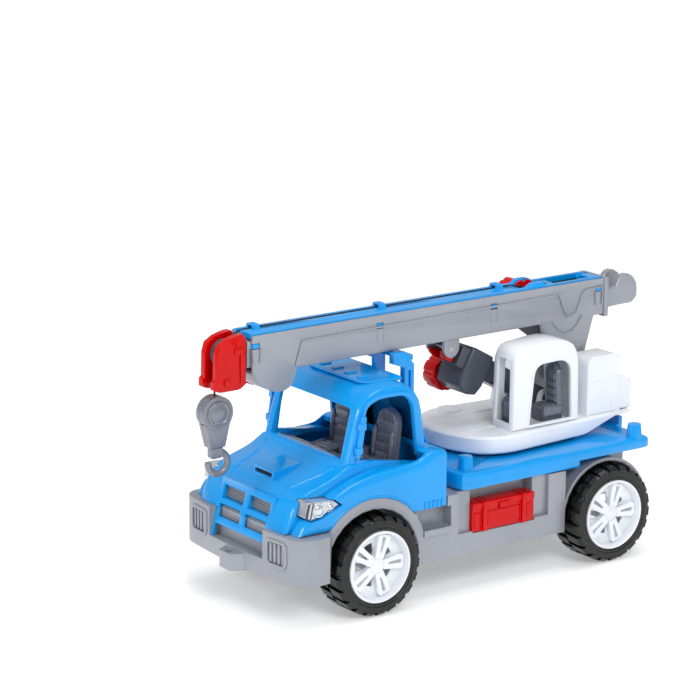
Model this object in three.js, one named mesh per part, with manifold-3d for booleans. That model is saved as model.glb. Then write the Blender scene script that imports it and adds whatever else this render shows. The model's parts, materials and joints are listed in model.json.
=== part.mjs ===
// Toy mobile crane: a truck with a slewing turntable and a telescopic boom.
// Millimetres, +X forward, +Y to the truck's left, +Z up, tyres on z = 0.
// Inside this file x = 0 is the rear axle; the last lines centre the whole toy.
import * as THREE from 'three';
import { mergeVertices } from 'three/addons/utils/BufferGeometryUtils.js';
import Module from 'manifold-3d';

const wasm = await Module();
wasm.setup();

// ---------------------------------------------------------------- dimensions
const GAP = 0.3; // clearance between pieces that rest on each other

// running gear
const WHEELBASE = 280;
const TYRE_R = 47.5;
const TYRE_OUT = 97.4; // outer face of a tyre, from the centre plane
const TYRE_IN = 58;
const RIM_R = 34.2;
const RIM_OUT = 98.4;
const AXLE_R = 2.5;
const AXLE_HALF = 87;

// chassis
const BODY_HALF = 82;
const SKIRT_HALF = 84;
const CHASSIS_BOTTOM = 36;
const BUMPER_BOTTOM = 42;
const BUMPER_TOP = 86;
const BUMPER_X = 375;
const BUMPER_HALF = 96.5;
const ARCH_R = 52;
const ARCH_BAND_R = 62;
const ARCH_SIDES = 28;
const WHEELHOUSE_Y = 50;
const MID_TOP = 96.7;

// deck
const DECK = { x0: -56, x1: 177, half: 84, z0: 97, z1: 114, rearZ0: 104 };

// turntable
const SLEW_X = 45;
const PLATE = { z0: 117, z1: 134, half: 62 };
const LUFF = { x: -8, z: 166 }; // boom foot pin
const JACK = { x: 24, z: 150 }; // jack foot pin
const LUG = { x: 137, z: 214 }; // jack head pin, on the boom
const PIN_R = 3;

// boom
const BOOM = { x0: -48, x1: 366, half: 17, z0: 224, z1: 259.5, wall: 2.3 };
const COVER_Z0 = 256;
const COVER_TOP = 261;
const GUIDES_X = [350, 207.5, 68];
const CORD_R = 0.9;
const CORD_Y = -7;
const CORD_Z = 260.8;
const WINCH = { x: 33, z: 248, core: 9, flange: 16.5, half: 8 };
const GEAR = { x: 340, z: 218 }; // telescope pinion
const HEAD_X0 = 370;
const SHEAVE = { x: 384.5, z: 243, r: 11.5 };
const HOOK_X = 396;
const BACK_X = -94; // rearmost point, the boom's tail
const FRONT_X = 412; // foremost point, the hook block

// colours, as sRGB
const PAINT = {
  blue: [0x1e9bf5, 0.25],
  grey: [0x9a9da2, 0.4],
  dark: [0x4a4d55, 0.45],
  red: [0xe8141c, 0.25],
  white: [0xf0f4fa, 0.25],
  tyre: [0x141416, 0.6],
  lamp: [0xb9bdc2, 0.2],
  steel: [0xb0b3b8, 0.35, 0.9],
  cord: [0x33353a, 0.8],
};

// ------------------------------------------------------------- solid helpers
// A closed three.js geometry becomes a solid that can be cut and joined.
function solid(geometry) {
  const bare = geometry.index ? geometry.toNonIndexed() : geometry.clone();
  bare.deleteAttribute('normal');
  bare.deleteAttribute('uv');
  const merged = mergeVertices(bare, 1e-4);
  const mesh = new wasm.Mesh({
    numProp: 3,
    vertProperties: new Float32Array(merged.attributes.position.array),
    triVerts: new Uint32Array(merged.index.array),
  });
  return new wasm.Manifold(mesh);
}

function toGeometry(body) {
  const mesh = body.getMesh();
  const geometry = new THREE.BufferGeometry();
  geometry.setAttribute('position', new THREE.BufferAttribute(mesh.vertProperties, 3));
  geometry.setIndex(new THREE.BufferAttribute(mesh.triVerts, 1));
  geometry.computeVertexNormals();
  return geometry;
}

const join = (...bodies) => bodies.reduce((a, b) => a.add(b));
const cut = (body, ...tools) => tools.reduce((a, b) => a.subtract(b), body);

function box(x0, x1, y0, y1, z0, z1) {
  const geometry = new THREE.BoxGeometry(x1 - x0, y1 - y0, z1 - z0);
  geometry.translate((x0 + x1) / 2, (y0 + y1) / 2, (z0 + z1) / 2);
  return solid(geometry);
}

// Cylinders along each axis; the first two numbers place the axis.
function rodY(x, z, r, y0, y1, sides = 16) {
  const geometry = new THREE.CylinderGeometry(r, r, y1 - y0, sides);
  geometry.translate(x, (y0 + y1) / 2, z);
  return solid(geometry);
}

function rodZ(x, y, r, z0, z1, sides = 16, topR = r) {
  const geometry = new THREE.CylinderGeometry(topR, r, z1 - z0, sides);
  geometry.rotateX(Math.PI / 2);
  geometry.translate(x, y, (z0 + z1) / 2);
  return solid(geometry);
}

// A closed outline; a point's third number rounds that corner, as far as its edges allow.
function outline(points) {
  const shape = new THREE.Shape();
  const n = points.length;
  points.forEach(([x, y, wanted = 0], i) => {
    const here = new THREE.Vector2(x, y);
    const before = new THREE.Vector2(...points[(i + n - 1) % n].slice(0, 2)).sub(here);
    const after = new THREE.Vector2(...points[(i + 1) % n].slice(0, 2)).sub(here);
    const r = Math.min(wanted, 0.48 * before.length(), 0.48 * after.length());
    const start = here.clone().addScaledVector(before.normalize(), r);
    const end = here.clone().addScaledVector(after.normalize(), r);
    if (i === 0) shape.moveTo(start.x, start.y);
    else shape.lineTo(start.x, start.y);
    if (r > 0) shape.quadraticCurveTo(x, y, end.x, end.y);
  });
  shape.closePath();
  return shape;
}

function extrude(shape, length, round, steps) {
  const geometry = new THREE.ExtrudeGeometry(shape, {
    depth: length - 2 * round,
    bevelEnabled: round > 0,
    bevelThickness: round,
    bevelSize: round,
    bevelOffset: -round,
    bevelSegments: round > 2 ? 2 : 1,
    curveSegments: steps,
  });
  geometry.translate(0, 0, round);
  return geometry;
}

// An outline in X and Z, pushed from y0 to y1.
function side(points, y0, y1, round = 0, steps = 2) {
  const shape = points instanceof THREE.Shape ? points : outline(points);
  const geometry = extrude(shape, y1 - y0, round, steps);
  geometry.rotateX(Math.PI / 2);
  geometry.translate(0, y1, 0);
  return solid(geometry);
}

// An outline in X and Y, pushed from z0 to z1.
function plan(points, z0, z1, round = 0, steps = 2) {
  const shape = points instanceof THREE.Shape ? points : outline(points);
  const geometry = extrude(shape, z1 - z0, round, steps);
  geometry.translate(0, 0, z0);
  return solid(geometry);
}

// An outline in Y and Z, pushed from x0 to x1.
function across(points, x0, x1, round = 0, steps = 2) {
  const shape = points instanceof THREE.Shape ? points : outline(points);
  const geometry = extrude(shape, x1 - x0, round, steps);
  const turn = new THREE.Matrix4().makeBasis(
    new THREE.Vector3(0, 1, 0),
    new THREE.Vector3(0, 0, 1),
    new THREE.Vector3(1, 0, 0),
  );
  geometry.applyMatrix4(turn);
  geometry.translate(x0, 0, 0);
  return solid(geometry);
}

// A y range on the truck's left (sign 1) or mirrored to its right (sign -1).
const span = (sign, a, b) => (sign > 0 ? [a, b] : [-b, -a]);

// A lathe profile of [radius, y] pairs turned about an axis along Y.
function turnedY(profile, x, z, sides) {
  const points = profile.map(([r, y]) => new THREE.Vector2(r, y));
  const geometry = new THREE.LatheGeometry(points, sides);
  geometry.translate(x, 0, z);
  return solid(geometry);
}

const object = new THREE.Group();

function add(name, paint, body, place = (mesh) => mesh) {
  const [color, roughness, metalness = 0] = PAINT[paint];
  const material = new THREE.MeshStandardMaterial({ color, roughness, metalness });
  const geometry = body instanceof THREE.BufferGeometry ? body : toGeometry(body);
  const mesh = new THREE.Mesh(geometry, material);
  mesh.name = name;
  place(mesh);
  object.add(mesh);
  return mesh;
}

// ------------------------------------------------------------------- chassis
// The bumper is wider than the cab and bows forward between two round corners.
function bumperPlan(inset) {
  const half = BUMPER_HALF - inset;
  const sideHalf = SKIRT_HALF + 1 - inset;
  const front = BUMPER_X - 4 - inset;
  const shape = new THREE.Shape();
  shape.moveTo(230, -sideHalf);
  shape.lineTo(326, -sideHalf);
  shape.lineTo(335, -half + 1.5);
  shape.lineTo(349, -half);
  shape.quadraticCurveTo(front - 1, -half, front, -half + 24);
  shape.quadraticCurveTo(front + 8, 0, front, half - 24);
  shape.quadraticCurveTo(front - 1, half, 349, half);
  shape.lineTo(335, half - 1.5);
  shape.lineTo(326, sideHalf);
  shape.lineTo(230, sideHalf);
  shape.closePath();
  return shape;
}

function towLug() {
  const points = [[366, -16], [374, -16], [386, -9, 2], [386, 9, 2], [374, 16], [366, 16]];
  return cut(plan(points, 40, 56), rodZ(380.5, 0, 3.4, 30, 60, 12));
}

// A shallow window for the lamp ribs, following the bumper's curve.
function bumperLampRecess(sign) {
  const depth = 1.6;
  return cut(box(340, 385, ...span(sign, 50, 76), 58, 78), plan(bumperPlan(depth), 50, 90, 0, 5));
}

function frontEnd() {
  const bumper = plan(bumperPlan(0), BUMPER_BOTTOM, BUMPER_TOP, 0, 5);
  const band = cut(
    rodY(WHEELBASE, TYRE_R, ARCH_BAND_R, -SKIRT_HALF - 1, SKIRT_HALF + 1, ARCH_SIDES),
    box(200, 360, -100, 100, -20, 60),
  );
  const hollow = box(236, 326, -47, 47, 20, 83);
  const nose = cut(
    plan(bumperPlan(4), 20, 83, 0, 5),
    box(200, 336, -100, 100, 10, 100),
    box(359.5, 400, -46, 46, 10, 100),
  );
  const maskSeat = box(363.5, 400, -43.4, 43.4, 58.6, 100); // the cab's mask hangs in here
  const archHollow = rodY(WHEELBASE, TYRE_R, ARCH_BAND_R - 3, -47, 47, ARCH_SIDES);
  return cut(join(bumper, band), hollow, nose, maskSeat, archHollow, box(326, 340, -40, 40, 20, 83));
}

function middle() {
  const shell = box(51, 231, -SKIRT_HALF, SKIRT_HALF, CHASSIS_BOTTOM, MID_TOP);
  const inside = box(55, 238, -62, 62, 20, 93.7);
  const lowInside = box(55, 226, -80.5, 80.5, 20, 50);
  let body = cut(shell, inside, lowInside);
  for (const sign of [1, -1]) {
    body = cut(
      body,
      box(72, 180, ...span(sign, 79, 90), 57, 100), // long panel behind the toolbox
      box(88.5, 163.5, ...span(sign, 66, 90), 55, 100), // toolbox bay
      box(193, 240, ...span(sign, 76, 90), 86, 100), // seat for the cab's lower edge
      box(189, 228, ...span(sign, 72, 90), 68, 87), // foot well under the door
    );
    body = join(body, box(190, 222, ...span(sign, 80, 87), 62, 68)); // foot step
  }
  return body;
}

function rearEnd() {
  const fender = cut(
    rodY(0, TYRE_R, ARCH_R + 0.5, -BODY_HALF, BODY_HALF, ARCH_SIDES),
    box(-60, 60, -90, 90, -20, 52),
  );
  const core = join(
    box(-50, 53, -WHEELHOUSE_Y, WHEELHOUSE_Y, 52, MID_TOP),
    box(-48, 18, -44, 44, 90, DECK.rearZ0 - GAP),
  );
  return cut(join(fender, core), box(-47, 56, -47, 47, 20, 93));
}

function chassis() {
  const seat = join(
    ...[0, WHEELBASE].map((x) => box(x - 9, x + 9, -WHEELHOUSE_Y, WHEELHOUSE_Y, 40, 56)),
  );
  const seatHollow = join(...[0, WHEELBASE].map((x) => box(x - 20, x + 20, -40, 40, 30, 60)));
  const body = join(frontEnd(), middle(), rearEnd(), towLug(), cut(seat, seatHollow));
  const tools = [];
  for (const sign of [1, -1]) {
    const y = span(sign, WHEELHOUSE_Y, 100);
    tools.push(rodY(WHEELBASE, TYRE_R, ARCH_R, ...y, ARCH_SIDES));
    tools.push(rodY(0, TYRE_R, ARCH_R - 2, ...y, ARCH_SIDES));
    tools.push(bumperLampRecess(sign));
  }
  tools.push(rodY(0, TYRE_R, AXLE_R + GAP, -60, 60, 12));
  tools.push(rodY(WHEELBASE, TYRE_R, AXLE_R + GAP, -60, 60, 12));
  tools.push(rodZ(SLEW_X, 0, 17, 60, 120, 24));
  return cut(body, ...tools);
}

function toolbox(sign) {
  const crate = box(89, 163, ...span(sign, 66 + GAP, 83), 55 + GAP, 78);
  const lid = box(89, 163, ...span(sign, 66 + GAP, 84), 77, 83);
  const ribs = [100, 147].map((x) => box(x, x + 5, ...span(sign, 70, 86), 55 + GAP, 84));
  return join(crate, lid, ...ribs);
}

// -------------------------------------------------------------------- wheels
function tyre() {
  const profile = [
    [RIM_R + GAP, TYRE_IN],
    [44.5, TYRE_IN],
    [TYRE_R, TYRE_IN + 4],
    [TYRE_R, TYRE_OUT - 4],
    [44, TYRE_OUT],
    [RIM_R + GAP, TYRE_OUT],
    [RIM_R + GAP, TYRE_IN],
  ];
  return turnedY(profile, 0, 0, 24);
}

function rim() {
  const barrel = turnedY(
    [[31, 60], [RIM_R, 60], [RIM_R, RIM_OUT], [31, RIM_OUT], [31, 60]],
    0, 0, 24,
  );
  const dish = rodY(0, 0, 32, 85, 88.5, 24);
  const hub = rodY(0, 0, 7.5, 66, 93.5, 12);
  let body = join(barrel, dish, hub);
  for (let i = 0; i < 5; i += 1) {
    const turn = (geometry) => geometry.rotateY((i * 2 * Math.PI) / 5 + Math.PI / 2);
    const spoke = new THREE.BoxGeometry(27, 6, 15);
    spoke.translate(18, 90.5, 0);
    const gap = new THREE.CylinderGeometry(5, 5, 20, 3);
    gap.translate(17, 88, 0);
    gap.rotateY(Math.PI / 5);
    body = cut(join(body, solid(turn(spoke))), solid(turn(gap)));
  }
  return cut(body, rodY(0, 0, AXLE_R + 0.05, 50, AXLE_HALF + 0.2, 12));
}

// ----------------------------------------------------------------------- cab
const CAB_REAR = 193.5;

// Side view of the cab's outside: rear post, roof, screen and bonnet.
const glasshouse = [
  [204, 132], [212, 190, 12], [226, 206.5, 12], [262, 206.5, 14], [282, 194, 14], [299, 132],
];
const bonnet = [
  [200, BUMPER_TOP + GAP], [200, 141, 4], [296, 140], [311, 131, 6], [344, 121, 6], [357, 111, 5],
  [367, BUMPER_TOP + GAP],
];
const wing = [
  [CAB_REAR, 87], [CAB_REAR, 142, 5], [214, 144, 6], [226, 135.5, 8], [270, 134, 10],
  [303, 127, 14], [334, 111, 10], [354, 99, 6], [361, BUMPER_TOP + GAP],
];

function grilleMask() {
  const plate = side([[354, 113], [358, 113], [372.5, 59], [369, 59], [364, 86.3], [360, 86.3]], -43, 43);
  const tools = [];
  for (const y0 of [-37.5, 4]) {
    tools.push(box(340, 380, y0, y0 + 33.5, 94.5, 107));
    tools.push(box(340, 380, y0, y0 + 33.5, 77.5, 90));
  }
  tools.push(box(340, 380, -40.7, 40.7, 50, 71));
  return { plate, tools };
}

const SIDE_WINDOW = [[282.5, 142], [275, 190, 5], [262, 196.5, 8], [231, 196, 8], [223, 185, 5], [217, 131.5]];

function cab() {
  const upper = side(glasshouse, -67, 67, 5);
  const lower = side(bonnet, -70, 70, 3);
  let body = join(upper, lower, side(wing, -85, 85, 4.5));
  const inUpper = side(
    [[207.5, 120], [216, 195, 8], [223, 203, 6], [264, 203, 8], [279.5, 193, 6], [296, 120]],
    -63.5, 63.5,
  );
  const inBonnet = side(
    [[204, 70], [204, 136], [285, 136], [310, 127, 8], [342, 117.5, 12], [353.5, 109, 6], [362, 70]],
    -66.5, 66.5,
  );
  const inWing = side(
    [[197, 70], [197, 138, 4], [212, 140, 5], [225, 131.5, 8], [269, 130, 10],
      [301, 123.5, 12], [332, 107.5, 10], [351, 95, 5], [355, 86], [355, 70]],
    -80, 80,
  );
  body = cut(body, inUpper, inBonnet, inWing);
  body = cut(body, box(190, 240, -76.3, 76.3, 80, MID_TOP + GAP)); // stands round the chassis top
  body = cut(body, rodY(WHEELBASE, TYRE_R, ARCH_BAND_R + GAP, -90, 90, ARCH_SIDES));
  // windows: both doors, the screen and two in the rear wall
  body = cut(body, side(SIDE_WINDOW, -80, -60), side(SIDE_WINDOW, 60, 80));
  body = cut(body, across([[-56, 142], [56, 142], [54, 188, 5], [-54, 188, 5]], 271, 310));
  for (const y0 of [-52, 8]) body = cut(body, box(200, 222, y0, y0 + 44, 146, 187));
  // bonnet scoop, open to the front
  const scoop = side([[305, 130], [309, 132.5], [342, 128.5], [343.5, 119], [330, 119]], -16, 16);
  body = join(body, scoop);
  body = cut(body, box(325, 350, -13.5, 13.5, 122.5, 126.5));
  // bracket bars on the front door posts
  for (const y of [[66, 70.5], [-70.5, -66]]) {
    body = join(body, side([[283, 148], [288, 148], [282, 182], [277, 182]], ...y));
  }
  const { plate, tools } = grilleMask();
  body = join(body, plate);
  body = cut(body, ...tools);
  body = cut(body, lampPocket(1), lampPocket(-1));
  return body;
}

const LAMP = [[354, 103], [350, 117], [322, 115], [315, 109.5], [336, 101], [347, 99]];
const LAMP_POCKET = [
  [355, 102.6], [350.6, 117.6], [321.6, 115.6], [313.8, 109.5], [335.6, 100.4], [348, 98.2],
];

function lampPocket(sign) {
  return side(LAMP_POCKET, ...span(sign, 64, 95));
}

function headlight(sign) {
  return side(LAMP, ...span(sign, 64.5, 82), 1);
}

function grillePanel() {
  let body = side([[349.3, 107], [352.2, 107], [357, 86.3], [354.1, 86.3]], -39.5, 39.5);
  const pitch = 3.6;
  for (let z = 88; z < 105; z += pitch) {
    const x = 352.2 + (107 - z) * 0.232;
    for (const sign of [1, -1]) body = join(body, box(x - 2, x + 0.7, ...span(sign, 5, 36.5), z, z + 1.4));
  }
  return body;
}

function seatShape(y) {
  const back = side([[222, 112], [232, 112], [226, 165, 6], [216, 165, 4]], y - 15, y + 15, 2);
  const cushion = box(226, 256, y - 15, y + 15, 111, 126);
  return join(back, cushion);
}

function cabInterior() {
  const floor = box(209.5, 262, -60, 60, 111, 114);
  const dash = side([[262, 111], [290, 111], [291, 137], [281, 139, 3], [262, 130, 3]], -60, 60);
  return join(floor, dash, seatShape(31), seatShape(-35), box(226, 250, -10, 10, 111, 132));
}

// ---------------------------------------------------------------------- deck
const PEGS = [[162, 70], [162, -70], [-41, 76], [-41, -76]];

function deck() {
  const { x0, x1, half, z0, z1, rearZ0 } = DECK;
  const slab = plan([[x0, -half, 8], [x1, -half, 12], [x1, half, 12], [x0, half, 8]], z0, z1, 3);
  let body = cut(slab, box(x0 - 5, 34, -100, 100, z0 - 5, rearZ0));
  body = cut(body, plan([[40, -78], [172, -78], [172, 78], [40, 78]], z0 - 5, z1 - 4));
  body = join(body, box(60, 160, -2, 2, z0, z1 - 3), rodZ(SLEW_X, 0, 26, z0, z1 - 3, 24));
  body = join(body, ...PEGS.map(([x, y]) => rodZ(x, y, 8, z1 - 2, z1 + 13, 12, 6.5)));
  body = join(body, box(x0 - 6, x0 + 2, -34, 34, z1 - 6, z1)); // tab behind the deck
  body = join(body, box(x0 - 6, x0 - 1.5, -34, 34, z1 - 2, z1 + 8)); // its lip
  return cut(body, rodZ(SLEW_X, 0, 15, 80, 130, 24));
}

function boomRest() {
  const foot = 114 + GAP;
  let body = box(190, 200, -24, 24, 214, 219);
  for (const sign of [1, -1]) {
    const leg = [[163, foot], [176, foot], [201, 160, 8], [201, 208], [214, 213], [214, 223.2], [200, 223.2],
      [190, 210], [190, 166, 8]];
    const slot = [[169, 120], [174, 120], [196.5, 163, 6], [196.5, 205], [194, 205], [194, 168]];
    body = join(body, side(leg, ...span(sign, 19, 26)));
    body = cut(body, side(slot, ...span(sign, 23, 40)));
  }
  return join(body, box(190, 200, -24, 24, 166, 171), box(164, 174, -24, 24, foot, 117));
}

// ----------------------------------------------------------------- turntable
function turntable() {
  const top = [
    [146, -14, 12], [131, -50, 20], [104, -62, 14], [-60, -50, 6], [-60, 50, 6], [104, 62, 14],
    [131, 50, 20], [146, 14, 12],
  ];
  let body = plan(top, PLATE.z0, PLATE.z1, 2);
  // the underside rises towards the rear, over the deck's pegs and lip
  body = cut(body, side([[8, 110], [8, PLATE.z0], [-38, 130.5], [-70, 130.5], [-70, 110]], -80, 80));
  const hollow = plan(
    [[141, -11, 8], [127, -46, 18], [102, -58, 12], [14, -54], [14, 54], [102, 58, 12],
      [127, 46, 18], [141, 11, 8]],
    PLATE.z0 - 5, PLATE.z1 - 3,
  );
  body = cut(body, hollow);
  // spigot that turns in the deck, open below for its screw
  body = join(
    body,
    rodZ(SLEW_X, 0, 14.6, 99, PLATE.z1 - 1, 24),
    rodZ(SLEW_X, 0, 30, DECK.z1 + GAP, PLATE.z1 - 2, 24),
  );
  body = cut(body, rodZ(SLEW_X, 0, 2.6, 80, 124, 12));
  // lugs for the jack foot pin, and a cross rib under them
  for (const y of [[14.2, 17.6], [-17.6, -14.2]]) {
    const lug = side([[12, 132], [36, 132], [32, JACK.z, 4], [29, 158, 5], [19, 158, 5], [16, JACK.z, 4]], ...y);
    body = join(body, lug);
  }
  body = cut(body, rodY(JACK.x, JACK.z, PIN_R + 0.1, -19, 19, 16));
  body = join(body, rodZ(92, -46, 13, PLATE.z1 - 1, PLATE.z1 + 1.6, 20, 12)); // round boss
  return body;
}

const CABIN_SIDE = [
  [10, 134.3], [11, 196, 10], [17, 212, 12], [40, 218.5, 14], [84, 215, 10], [91, 203, 10], [92, 134.3],
];

function craneCabin() {
  let body = side(CABIN_SIDE, 20, 53, 3);
  const inside = side(
    [[13, 137], [14, 195, 9], [19.5, 209, 10], [41, 215.5, 12], [82, 212, 8], [88, 201, 9], [89, 137]],
    23, 50,
  );
  body = cut(body, inside);
  body = cut(body, box(13, 89, 23, 50, 130, 140));
  body = cut(body, side([[72, 138], [66, 190, 8], [60, 196, 8], [31, 197, 6], [22, 190, 6], [20, 138]], 45, 60));
  body = cut(body, across([[25, 141], [47, 141], [46, 204, 5], [27, 203, 5]], 84, 100));
  // the inner side is open towards the jack and the boom foot
  body = cut(body, side([[80, 142], [78, 200, 6], [30, 200, 6], [24, 142]], 15, 26));
  return body;
}

function engineHouse() {
  const main = [[-46, 131], [-46, 186, 5], [-40, 192, 4], [-8, 192, 4], [-4, 186, 3], [-4, 134.3], [-36, 134.3]];
  const far = [[-46, 131], [-46, 186, 5], [-40, 192, 4], [4, 192, 6], [34, 160, 8], [40, 134.3], [-36, 134.3]];
  const step = [[-60, 135], [-60, 162, 5], [-52, 167.5, 4], [-44, 167.5], [-44, 135]];
  let body = join(side(main, 20.5, 50, 2), side(far, -50, -20.5, 2));
  body = join(body, side(step, -50, 50, 2));
  body = join(body, box(-46, -40.5, -22, 22, 135, 160));
  body = cut(body, box(-80, 60, -60, 60, 120, PLATE.z1 + GAP));
  body = cut(body, box(-42, -7, 23.5, 47, 130, 188.5));
  body = cut(body, side([[-42, 130], [-42, 188.5], [2, 188.5], [31, 158], [36, 130]], -47, -23.5));
  body = cut(body, box(-57, -48.5, -46, 46, 130, 163));
  // boom foot pin holes, with thick bosses inside
  for (const y of [[20.5, 26], [-26, -20.5]]) body = join(body, rodY(LUFF.x, LUFF.z, 7, ...y, 20));
  body = cut(body, rodY(LUFF.x, LUFF.z, PIN_R + 0.1, -24.5, 24.5, 16));
  return body;
}

function craneSeat() {
  const back = side([[22, 141], [30, 141], [33, 184, 4], [25, 187, 4]], 27, 45, 1.5);
  const cushion = side([[24, 140], [47, 140], [48, 151, 3], [24, 150]], 26, 46, 1.5);
  return join(back, cushion, box(24, 46, 28, 44, PLATE.z1 + GAP, 141));
}

function craneConsole() {
  const body = side([[70, PLATE.z1 + GAP], [84, PLATE.z1 + GAP], [85, 160, 3], [78, 165, 3], [70, 158, 3]], 26, 47, 1);
  return body;
}

// ---------------------------------------------------------------------- boom
const CLIPS_X = [362, 223.5, 89, -41.5];

function boomOuter() {
  const { x0, x1, half, z0, z1, wall } = BOOM;
  let body = box(x0, x1, -half, half, z0, z1);
  body = join(body, box(x0 - 5, x0, -half - 1.5, half + 1.5, z0 - 2.5, z1 + 0.6)); // rear flange
  // lower panel stands out a little from the sides
  const panel = [[312, 249], [12, 251.5], [8, z0 + 8], [-2, z0 + 1], [318, z0 + 1]];
  body = join(body, side(panel, half - 1, half + 0.9), side(panel, -half - 0.9, -half + 1));
  // front gear case under the boom
  const gearCase = [[366, z0 + 4], [358, 213, 4], [341, 202.5, 10], [322, 206, 8], [316, z0 + 4]];
  body = join(body, side(gearCase, -half, half));
  // foot plates and jack lugs
  const footNear = [
    [-37, z0 + 4], [-24, 184], [LUFF.x - 9, LUFF.z + 2], [LUFF.x - 8, LUFF.z - 7, 5],
    [LUFF.x + 7, LUFF.z - 9, 5], [LUFF.x + 10, LUFF.z, 3], [26, 210], [31, z0 + 4],
  ];
  const footFar = [...footNear.slice(0, 6), [20, 205], [52, z0 + 4]];
  body = join(body, side(footNear, half - 3.2, half), side(footFar, -half, -half + 3.2));
  body = join(body, box(-26, 4, -half + 1, half - 1, 206, 209)); // web between the foot plates
  for (const y of [[11.4, 14.6], [-14.6, -11.4]]) {
    const lug = [[LUG.x - 9, z0 + 4], [LUG.x - 9, LUG.z - 4, 5], [LUG.x, LUG.z - 10, 6], [LUG.x + 9, LUG.z - 4, 5], [LUG.x + 9, z0 + 4]];
    body = join(body, side(lug, ...y));
  }
  // channel, open at the top and the front
  body = cut(body, box(x0 - 1, x1 + 5, -half + wall, half - wall, z0 + wall, z1 + 5));
  body = cut(body, side([[360, z0 + 8], [355, 214, 3], [341, 205.5, 8], [325, 209, 6], [320, z0 + 8]], -half + wall, half - wall));
  // blind bearings for the two shafts, bored through on the knob side only
  for (const shaft of [GEAR, WINCH]) body = join(body, rodY(shaft.x, shaft.z, 6.4, 12.9, half - 1, 16));
  const bores = [
    rodY(GEAR.x, GEAR.z, 4.2, -half - 5, 14.8, 16),
    rodY(LUFF.x, LUFF.z, PIN_R + 0.1, -half - 5, half + 5, 16),
    rodY(LUG.x, LUG.z, 2.6, -half, half, 16),
    rodY(WINCH.x, WINCH.z, 4.2, -half - 5, 14.8, 16),
  ];
  // slots for the cover's clips
  for (const x of CLIPS_X) bores.push(box(x - 4, x + 4, -half - 3, half + 3, 247, 252.5));
  return cut(body, ...bores);
}

// Half-round bearing caps in the cover, over the winch shaft.
const WINCH_CAP = [
  [WINCH.x - 13, COVER_TOP - 1], [WINCH.x - 7, COVER_TOP + 4, 3], [WINCH.x + 7, COVER_TOP + 4, 3],
  [WINCH.x + 13, COVER_TOP - 1],
];

function boomCover() {
  const inner = BOOM.half - BOOM.wall - GAP;
  let body = box(BOOM.x0 + 1, BOOM.x1 - 0.5, -inner, inner, COVER_Z0, COVER_TOP);
  const groove = box(BOOM.x0 - 5, BOOM.x1 + 5, CORD_Y - 3, CORD_Y + 3, COVER_TOP - 1.9, COVER_TOP + 5);
  body = cut(body, groove);
  body = cut(body, box(-34, 10, -10.5, 10.5, 240, 270)); // rear opening
  for (const sign of [1, -1]) body = join(body, side(WINCH_CAP, ...span(sign, WINCH.half + 0.8, inner)));
  const well = [WINCH.half + 0.6, WINCH.flange + 1.5];
  body = cut(body, box(WINCH.x - well[1], WINCH.x + well[1], -well[0], well[0], 240, 270));
  body = cut(body, rodY(WINCH.x, WINCH.z, WINCH.core + 0.6, -20, 20, 16));
  for (const x of GUIDES_X) {
    const arch = cut(
      across(
        [[CORD_Y - 7, COVER_TOP - 1], [CORD_Y - 5, COVER_TOP + 4.5, 2], [CORD_Y + 6, COVER_TOP + 4.5, 2],
          [CORD_Y + 9, COVER_TOP - 1]],
        x - 3, x + 3,
      ),
      box(x - 5, x + 5, CORD_Y - 2.6, CORD_Y + 2.6, COVER_TOP - 1.9, COVER_TOP + 2.4),
    );
    body = join(body, arch);
  }
  // clips that snap into the side slots
  for (const x of CLIPS_X) {
    for (const sign of [1, -1]) {
      body = join(
        body,
        box(x - 3.4, x + 3.4, ...span(sign, inner - 0.7, inner), 247.5, COVER_Z0 + 1),
        box(x - 3.4, x + 3.4, ...span(sign, inner - 0.5, BOOM.half - 0.3), 247.8, 251.8),
      );
    }
  }
  return body;
}

function boomTail() {
  const x0 = BACK_X;
  const x1 = BOOM.x0 - 5 - GAP;
  let body = box(x1 - 3, x1, -15, 15, 226, 258);
  const cheek = [[x1, 229], [-88, 229.5, 3], [x0, 235, 2], [x0, 250, 9], [-84, 259.5, 7], [-72, 259.5, 8], [-66, 248, 3], [x1, 246]];
  for (const y of [[8, 14.5], [-14.5, -8]]) body = join(body, side(cheek, ...y, 1));
  body = join(body, box(-62, x1, -14, 14, 229, 234));
  return join(body, box(-63, x1, -2.5, 2.5, 229, 256));
}

const INNER = { x0: 62, x1: 369.4, half: 13.4, z0: 230, z1: 254.5, wall: 2 };

function innerBoom() {
  const { x0, x1, half, z0, z1, wall } = INNER;
  let body = box(x0, x1, -half, half, z0, z1);
  body = cut(body, box(x0 - 1, x1 + 1, -half + wall, half - wall, z0 + wall, z1 - wall));
  // rack teeth along the underside
  const rack = outline(rackPoints(x0 + 4, x1 - 6, z0 - 2.6, z0 + 0.6));
  body = join(body, side(rack, -4, 4));
  // tongue that the two head halves close on
  body = join(
    body,
    box(x1 - 6, x1 + 6, -4.6, 4.6, 232, 238.5),
    box(x1 - 6, x1 - 2, -half + 1, half - 1, 231, 238.5),
  );
  return cut(body, rodY(SHEAVE.x, SHEAVE.z, SHEAVE.r + 2.5, -5, 5, 20));
}

function rackPoints(x0, x1, low, high) {
  const pitch = 9;
  const points = [[x0, high]];
  for (let x = x0; x + pitch <= x1; x += pitch) {
    points.push([x, low + 1.8], [x + 2.2, low], [x + 4.5, low], [x + 6.7, low + 1.8]);
  }
  points.push([x1, low + 1.8], [x1, high]);
  return points;
}

const HEAD_SIDE = [
  [HEAD_X0, 257], [HEAD_X0 + 3, 262, 2], [380, 262, 14], [402, 256, 22], [402.6, 223], [405, 221],
  [405, 214], [399, 211, 3], [376, 211, 3], [HEAD_X0, 215.5],
];

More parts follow.
